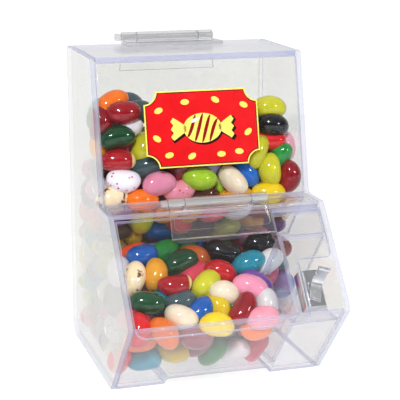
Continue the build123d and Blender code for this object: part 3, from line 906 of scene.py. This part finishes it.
# %% Rods of three balls
ROD_COUNT = 450
BALL = 0.0053         # radius of each ball of a rod
HALF_ROD = 0.0030     # from the middle ball to either end ball
BACK_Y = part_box("back_wall")[1].y
WINDOW_WALL, FRONT_WALL = 3, 4  # their places in WALLS
BAFFLE_HALF = 0.0013  # half the baffle's thickness, with some play
HIDDEN_INSET = 0.007  # how far poured beans stay behind the listed ones
WALL_SLACK = 0.0013   # a bean that still crosses a wall by more is left out
HEAP_SLACK = 0.003    # the same for a bean that pushes in among the listed ones
TRAY_HEAP = TRAY_HIGH.z + 0.003
TRAY_CREST = 0.056    # the tray heap falls forward from this far in front of the back
draw = np.random.default_rng(20)


def ceiling(places):
    """Height of the heap's surface at each place, and whether that is the tray's heap."""
    y, x = places[:, 1], places[:, 0]
    hopper = HOPPER_HIGH.z - 0.001 - 0.10 * (y - HOPPER_LOW.y) + 0.02 * x
    tray = np.minimum(TRAY_HEAP, TRAY_HEAP + 0.3 * (y - BACK_Y + TRAY_CREST))
    slope = (baffle_top[1] - baffle_foot[1]) / (baffle_top[0] - baffle_foot[0])
    baffle_z = baffle_foot[1] + slope * (y - baffle_foot[0])
    in_front = (y < baffle_foot[0]) & (places[:, 2] < baffle_z)
    return np.where(in_front, tray, hopper), in_front


SUNK = 0.6            # radii that a ball's middle stays under the heap's surface
MOST_DOWN = 0.004     # most that the surface presses a ball down in one round


def push_from_walls(balls, radius, inset):
    """How far each ball has to move to be clear of every wall.

    The inset keeps poured beans behind the listed ones, which show.
    """
    push = np.zeros_like(balls)
    for index, (normal, distance) in enumerate(WALLS):
        depth = balls @ normal + radius - distance
        if index in (WINDOW_WALL, FRONT_WALL):
            depth = depth + inset
        push -= np.clip(depth, 0, None)[:, None] * normal
    height, tray = ceiling(balls)
    over = balls[:, 2] + SUNK * radius - height + np.where(tray, inset, 0.0)
    push[:, 2] -= np.clip(over, 0, MOST_DOWN)

    run = baffle_top - baffle_foot
    flat = balls[:, 1:] - baffle_foot
    share = np.clip(flat @ run / (run @ run), 0, 1)
    away = flat - share[:, None] * run
    gap = np.linalg.norm(away, axis=1) + 1e-9
    near = np.clip(radius + BAFFLE_HALF - gap, 0, None)
    push[:, 1:] += near[:, None] * away / gap[:, None]

    behind = balls @ CHUTE_NORMAL - CHUTE_AT - radius
    into_bay = balls[:, 0] + radius - BAY_LEFT
    caught = (behind < 0) & (into_bay > 0)
    sideways = caught & (into_bay < -behind)
    push[sideways, 0] -= into_bay[sideways]
    back = caught & ~sideways
    push[back] -= behind[back][:, None] * CHUTE_NORMAL
    return push


print("bean half length mm:", round((HALF_ROD + BALL) / MM, 1))

# %% Placing the listed beans
GLASS_GAP = 0.0003    # between a listed bean and its wall
TRAY_PROBE = 0.03     # a height that is surely in the tray, below the baffle


def against(wall, x, z, turn, deep):
    """A bean against a leaning wall: its middle, its direction and the wall's normal."""
    normal, distance = wall
    y = (distance - BALL - GLASS_GAP - deep - normal[2] * z - normal[0] * x) / normal[1]
    rise = math.sin(math.radians(turn))
    aim = np.array([math.cos(math.radians(turn)), -rise * normal[2] / normal[1], rise])
    return np.array([x, y, z]), aim / np.linalg.norm(aim), normal


def on_tray(x, forward, turn, deep):
    """A bean on the tray heap: its middle, its direction and the upright."""
    place = np.array([[x, BACK_Y - forward, TRAY_PROBE]])
    place[0, 2] = ceiling(place)[0][0] - BALL - deep
    rise = math.sin(math.radians(turn))
    aim = np.array([math.cos(math.radians(turn)), 0.75 * rise, 0.45 * rise])
    return place[0], aim / np.linalg.norm(aim), np.array([0.0, 0.0, 1.0])


def set_by_hand():
    """Middle, direction, depth line and sweet of every bean in the four lists."""
    run = np.array([0.0, *(baffle_top - baffle_foot)])
    normal = np.cross(run / np.linalg.norm(run), (1.0, 0.0, 0.0))
    normal *= -np.sign(normal[1])
    baffle = (normal, float(normal[1:] @ baffle_foot) - BAFFLE_HALF)
    rows = []
    for wall, beans in ((WALLS[WINDOW_WALL], BEHIND_WINDOW), (WALLS[FRONT_WALL], BEHIND_FRONT),
                        (baffle, BEHIND_BAFFLE)):
        for x, z, turn, deep, sweet in beans:
            rows.append((*against(wall, x * MM, z * MM, turn, deep * MM), sweet))
    for x, forward, turn, deep, sweet in ON_TRAY:
        rows.append((*on_tray(x * MM, forward * MM, turn, deep * MM), sweet))
    return rows


hand_set = set_by_hand()
print("placed by hand:", len(hand_set))


# %% Random start
def seed_rods():
    """Random middles spread through the filled space, and random directions."""
    spots = [row[0] for row in hand_set]
    aims = [row[1] for row in hand_set]
    low = np.array([HOPPER_LOW.x, TRAY_LOW.y, TRAY_LOW.z]) + BALL
    high = np.array([HOPPER_HIGH.x, HOPPER_HIGH.y, HOPPER_HIGH.z]) - BALL
    while len(spots) < ROD_COUNT:
        trial = draw.uniform(low, high, (200, 3))
        moved = np.abs(push_from_walls(trial, 0.7 * BALL, HIDDEN_INSET)).max(axis=1)
        gaps = np.linalg.norm(trial[:, None] - np.array(spots)[None, :len(hand_set)], axis=2)
        spots.extend(trial[(moved < 1e-6) & (gaps.min(axis=1) > 1.5 * BALL)])
    turned = draw.normal(size=(ROD_COUNT, 3))
    turned /= np.linalg.norm(turned, axis=1)[:, None]
    turned[:len(hand_set)] = aims
    return np.array(spots[:ROD_COUNT]), turned


print("rods to pour:", ROD_COUNT - len(hand_set))

# %% [markdown]
# ## Pushing the rods apart
#
# Only balls that are near each other matter, so a grid of cells finds the pairs. In each
# round every pair that overlaps moves apart, poured beans sink a little, and listed ones
# give way mostly along their depth line and are drawn back to where they were set.

# %% Packing
ROUNDS = 400
PAIR_EVERY = 6           # rounds between two searches for near pairs
PAIR_MARGIN = 0.003      # how much further than contact a pair is listed
SINK = 0.00012           # how far a poured bean sinks in a round
SINK_SHARE = 0.7         # share of the rounds in which it sinks
MOVE, SWING = 0.75, 0.8  # share of a push and of a turn that a poured bean takes
HELD_MOVE, HELD_SWING = 0.08, 0.1   # the same for a listed one
HELD_DEEPER = 0.4                   # its share of a push along its depth line
DRAW_BACK, SWING_BACK = 0.12, 0.08  # its share of the way back in a round
GRID = 512               # more cells than the box has along any side


def touching(balls, owner, reach):
    """Pairs of balls of different beans that are nearer than a reach, by a grid of cells."""
    cells = np.floor((balls - balls.min(0)) / reach).astype(np.int64)
    code = (cells[:, 0] * GRID + cells[:, 1]) * GRID + cells[:, 2]
    order = np.argsort(code, kind="stable")
    ordered = code[order]
    firsts, seconds = [], []
    for dx, dy, dz in itertools.product((-1, 0, 1), repeat=3):
        goal = code + (dx * GRID + dy) * GRID + dz
        start = np.searchsorted(ordered, goal, "left")
        count = np.searchsorted(ordered, goal, "right") - start
        first = np.repeat(np.arange(len(balls)), count)
        step = np.arange(count.sum()) - np.repeat(np.cumsum(count) - count, count)
        second = order[np.repeat(start, count) + step]
        keep = (first < second) & (owner[first] != owner[second])
        firsts.append(first[keep])
        seconds.append(second[keep])
    first, second = np.concatenate(firsts), np.concatenate(seconds)
    close = np.linalg.norm(balls[first] - balls[second], axis=1) < reach
    return first[close], second[close]


def settle():
    """Packs the rods; gives each bean's middle and direction, and the overlaps left."""
    middles, aims = seed_rods()
    start, start_aims = middles.copy(), aims.copy()
    by_hand = np.arange(ROD_COUNT) < len(hand_set)
    held = by_hand[:, None]
    depth_line = np.zeros((ROD_COUNT, 3))
    depth_line[:len(hand_set)] = [row[2] for row in hand_set]
    inset = np.repeat(np.where(by_hand, 0.0, HIDDEN_INSET), 3)
    offsets = np.array([-HALF_ROD, 0.0, HALF_ROD])
    weights = offsets / (offsets @ offsets)
    owner = np.repeat(np.arange(ROD_COUNT), 3)
    for step in range(ROUNDS):
        balls = (middles[:, None] + offsets[None, :, None] * aims[:, None]).reshape(-1, 3)
        if step % PAIR_EVERY == 0:
            first, second = touching(balls, owner, 2 * BALL + PAIR_MARGIN)
        gap = balls[first] - balls[second]
        size = np.linalg.norm(gap, axis=1) + 1e-9
        near = np.clip(2 * BALL - size, 0, None)
        part = 0.5 * (near / size)[:, None] * gap
        push = np.zeros_like(balls)
        touched = np.zeros(len(balls))
        for ball, sign in ((first, 1.0), (second, -1.0)):
            np.add.at(push, ball, sign * part)
            np.add.at(touched, ball, near > 0)
        push /= np.maximum(touched, 1.0)[:, None] ** 0.5
        resting = np.repeat(by_hand, 3) | (step > ROUNDS * SINK_SHARE)
        push[:, 2] -= np.where(resting, 0.0, SINK)
        push += push_from_walls(balls, BALL, inset)
        push = push.reshape(-1, 3, 3)

        shift = MOVE * push.mean(axis=1)
        deeper = (shift * depth_line).sum(axis=1)[:, None] * depth_line
        held_shift = HELD_MOVE * (shift - deeper) + HELD_DEEPER * deeper
        middles = middles + np.where(held, held_shift, shift)
        middles += np.where(held, DRAW_BACK, 0.0) * (start - middles)
        swing = (push * weights[None, :, None]).sum(axis=1)
        swing_back = np.where(held, SWING_BACK, 0.0) * (start_aims - aims)
        aims = aims + np.where(held, HELD_SWING, SWING) * swing + swing_back
        aims /= np.linalg.norm(aims, axis=1)[:, None]

    fits = np.ones(ROD_COUNT, bool)
    for pulled_in, limit in ((0.0, WALL_SLACK), (inset, HEAP_SLACK)):
        push = np.abs(push_from_walls(balls, BALL, pulled_in)).max(axis=1)
        fits &= push.reshape(-1, 3).max(axis=1) < limit
    kept = by_hand | fits
    return middles[kept], aims[kept], near[near > 0]


bean_places, bean_aims, left_over = settle()
BEAN_COUNT = len(bean_places)
print("beans:", BEAN_COUNT, "worst overlap mm:", round(float(left_over.max()) / MM, 2))
print("mean overlap mm:", round(float(left_over.mean()) / MM, 3))

# %% [markdown]
# ## The shape of a jelly bean
#
# A bean is a blunt rod with a slight bend and a shallow dent on its inner side. Rings of
# points along it give that form; each bean is a copy that is turned, scaled a little and
# joined to the other beans of its colour, so one piece holds one flavour.

# %% Bean shape
RINGS, AROUND = 13, 22
BLUNTNESS = 2.25  # 2 would give an ellipse; more gives blunter tips


def bean_points(bend, dent):
    """Points, faces and place along +X of one bean, with half length and half width 1."""
    places, along = [(-1.0, 0.0, -bend)], [-1.0]
    for ring in range(RINGS):
        t = -math.cos(math.pi * (ring + 1) / (RINGS + 1))
        wide = (1 - abs(t) ** BLUNTNESS) ** 0.5
        middle = -bend * t * t
        for step in range(AROUND):
            angle = 2 * math.pi * step / AROUND
            inner = max(0.0, -math.sin(angle)) ** 2
            reach = wide * (1 - dent * inner * (1 - t * t) ** 2)
            places.append((t, reach * math.cos(angle), middle + reach * math.sin(angle)))
            along.append(t)
    places.append((1.0, 0.0, -bend))
    along.append(1.0)
    last = len(places) - 1
    foot = last - AROUND
    faces = []
    for step in range(AROUND):
        after = (step + 1) % AROUND
        faces.append((0, 1 + after, 1 + step))
        faces.append((last, foot + step, foot + after))
        for ring in range(RINGS - 1):
            low = 1 + ring * AROUND
            faces.append((low + step, low + after, low + AROUND + after, low + AROUND + step))
    return np.array(places), faces, np.array(along)


SHAPES = [bean_points(bend, dent) for bend, dent in ((0.05, 0.02), (0.14, 0.05), (0.24, 0.08))]
print("bean points:", len(SHAPES[0][0]), "faces:", len(SHAPES[0][1]))

# %% [markdown]
# ## Candy glaze
#
# Boiled sugar over a coloured paste: a smooth clear coat with a dimpled skin, a slightly
# cloudy colour beneath, and for some flavours sprayed specks or splashes. The tone shifts
# a little from bean to bean, read from a value stored on the beans' points.


# %% Candy finish
def specks(tree, size, low, high):
    """Small round spots scattered over a bean, as a mask."""
    place = add(tree, "TexCoord")
    spots = add(tree, "TexVoronoi", Scale=size)
    tree.links.new(place.outputs["Object"], spots.inputs["Vector"])
    area = add(tree, "TexNoise", Scale=size * 0.35, Detail=1.0)
    tree.links.new(place.outputs["Object"], area.inputs["Vector"])
    near = steps(tree, spots.outputs["Distance"], high, low)
    return math_node(tree, "MULTIPLY", near, steps(tree, area.outputs["Fac"], 0.45, 0.55))


def splashes(tree, size, low, high):
    """Ragged sprayed splashes, as a mask."""
    place = add(tree, "TexCoord")
    cloud = add(tree, "TexNoise", Scale=size, Detail=3.0, Roughness=0.6)
    tree.links.new(place.outputs["Object"], cloud.inputs["Vector"])
    return steps(tree, cloud.outputs["Fac"], low, high)


def candy(name, main, deep, marks=None, end=None, clear=0.0):
    """Glazed sweet: marks is (colour, mask maker, its values); end is one tip's colour."""
    material, tree, shader = new_material("glaze_" + name)
    tone = add(tree, "Attribute", attribute_name="tone")
    glaze = use_group(
        tree, GLAZE, Colour=main, Deep_Colour=deep, Cloudiness=0.45, Tone=tone.outputs["Fac"]
    )
    shown = glaze.outputs["Colour"]
    if end:
        tip = add(tree, "Attribute", attribute_name="along")
        shown = blend_colour(tree, steps(tree, tip.outputs["Fac"], 0.66, 0.72), shown, end)
    if marks:
        shown = blend_colour(tree, marks[1](tree, *marks[2]), shown, marks[0])
    tree.links.new(shown, shader.inputs["Base Color"])
    shader.inputs["Roughness"].default_value = 0.32
    shader.inputs["Specular IOR Level"].default_value = 0.1
    shader.inputs["Coat Weight"].default_value = 1.0
    shader.inputs["Coat Roughness"].default_value = 0.05
    shader.inputs["Subsurface Weight"].default_value = clear
    shader.inputs["Subsurface Scale"].default_value = 0.004
    skin = add(tree, "Bump", Strength=0.12, Distance=0.0003)
    tree.links.new(glaze.outputs["Height"], skin.inputs["Height"])
    tree.links.new(skin.outputs[0], shader.inputs["Normal"])
    return material


print("candy finish ready")

# %% Flavours
RED_SPECK = (colour(200, 25, 45), specks, (380.0, 0.17, 0.27))
BROWN_SPLASH = (colour(104, 54, 24), splashes, (150.0, 0.55, 0.6))
FLAVOURS = {  # main colour, deeper cloud colour, how common the sweet is
    "crimson": ((150, 8, 24), (86, 2, 12), 5),
    "deep_red": ((96, 16, 22), (50, 8, 12), 2),
    "red": ((222, 18, 28), (170, 6, 16), 5),
    "rose": ((226, 72, 96), (196, 36, 62), 3),
    "orange": ((246, 124, 22), (226, 88, 10), 4),
    "orange_red": ((236, 84, 24), (206, 52, 14), 2),
    "gold": ((232, 164, 34), (206, 122, 18), 3),
    "yellow": ((246, 214, 22), (228, 186, 8), 4),
    "lemon_olive": ((214, 212, 40), (180, 180, 22), 4),
    "lime": ((164, 202, 42), (130, 172, 24), 3),
    "green": ((36, 150, 62), (14, 106, 40), 4),
    "dark_green": ((12, 74, 38), (6, 40, 22), 3),
    "slate": ((66, 88, 92), (40, 58, 64), 2),
    "teal": ((26, 150, 172), (14, 112, 140), 3),
    "blue": ((12, 98, 190), (6, 66, 150), 3),
    "black": ((16, 14, 20), (5, 4, 8), 4),
    "purple": ((112, 66, 152), (82, 42, 120), 2),
    "lilac": ((164, 150, 190), (134, 118, 164), 2),
    "mauve": ((142, 70, 78), (110, 48, 56), 2),
    "pink": ((250, 160, 190), (240, 134, 168), 4),
    "pale_pink": ((248, 182, 200), (236, 150, 176), 2),
    "speckled_pink": ((246, 160, 178), (236, 132, 152), 3),
    "speckled_white": ((242, 239, 247), (228, 222, 238), 3),
    "white": ((242, 240, 240), (226, 222, 228), 3),
    "cream_brown": ((240, 222, 184), (226, 196, 146), 3),
    "champagne": ((236, 222, 198), (216, 198, 170), 3),
    "caramel": ((188, 92, 34), (146, 58, 18), 3),
    "brown": ((84, 40, 24), (50, 22, 12), 2),
    "cherry_cream": ((176, 12, 26), (120, 4, 14), 2),
}
EXTRAS = {  # what some of them have besides
    "gold": {"marks": RED_SPECK},
    "speckled_pink": {"marks": RED_SPECK},
    "speckled_white": {"marks": RED_SPECK},
    "cream_brown": {"marks": BROWN_SPLASH},
    "champagne": {"clear": 0.5},
    "cherry_cream": {"end": colour(240, 214, 150)},
}
SWEETS = {}
for name, (main, deep, _) in FLAVOURS.items():
    SWEETS[name] = candy(name, colour(*main), colour(*deep), **EXTRAS.get(name, {}))
print("sweets:", len(SWEETS))


# %% [markdown]
# ## Building the heap
#
# Several hundred separate pieces would be slow to handle, so all beans of one sweet share
# one mesh and one glaze. Each takes one of the three shapes, a size, a roll about its
# length and a tone from the same seeded generator, so every run gives the same heap.


# %% Building the heap
def bean_turn(aim, roll):
    """Rows of a matrix that turns +X to aim, with a roll about it."""
    side = np.cross(aim, (0.0, 0.0, 1.0) if abs(aim[2]) < 0.9 else (0.0, 1.0, 0.0))
    side /= np.linalg.norm(side)
    up = np.cross(side, aim)
    return np.array([aim, math.cos(roll) * side + math.sin(roll) * up,
                     -math.sin(roll) * side + math.cos(roll) * up])


def heap_of(name, finish, members):
    """One piece that joins every bean of one sweet."""
    places, faces, tones, alongs = [], [], [], []
    for index in members:
        points, shape_faces, along = SHAPES[int(shape_pick[index])]
        scale = np.array([half_length[index], half_width[index], half_width[index]])
        turned = (points * scale) @ bean_turn(bean_aims[index], rolls[index])
        offset = sum(len(block) for block in places)
        places.append(turned + bean_places[index])
        faces += [tuple(corner + offset for corner in face) for face in shape_faces]
        tones += [tone_of[index]] * len(points)
        alongs.append(along)
    mesh = bpy.data.meshes.new("sweets_" + name)
    mesh.from_pydata(np.concatenate(places).tolist(), [], faces)
    for label, values in (("tone", tones), ("along", np.concatenate(alongs))):
        mesh.attributes.new(label, "FLOAT", "POINT").data.foreach_set("value", values)
    mesh.materials.append(finish)
    mesh.shade_smooth()
    piece = bpy.data.objects.new("sweets_" + name, mesh)
    scene.collection.objects.link(piece)
    stand_for(piece, "bin", "sweets", "candy_in_hopper", "candy_in_tray")


names = list(SWEETS)
chance = np.array([common for _, _, common in FLAVOURS.values()], float)
poured = draw.choice(len(names), BEAN_COUNT - len(hand_set), p=chance / chance.sum())
sweet_of = [row[3] for row in hand_set] + [names[k] for k in poured]
shape_pick = draw.integers(0, 3, BEAN_COUNT)
half_length = draw.uniform(0.0081, 0.0089, BEAN_COUNT)
half_width = draw.uniform(0.0054, 0.0059, BEAN_COUNT)
rolls = draw.uniform(0, 2 * math.pi, BEAN_COUNT)
tone_of = draw.uniform(0, 1, BEAN_COUNT)
for name in names:
    members = [index for index in range(BEAN_COUNT) if sweet_of[index] == name]
    if members:
        heap_of(name, SWEETS[name], members)
print("heap built from", BEAN_COUNT, "beans")
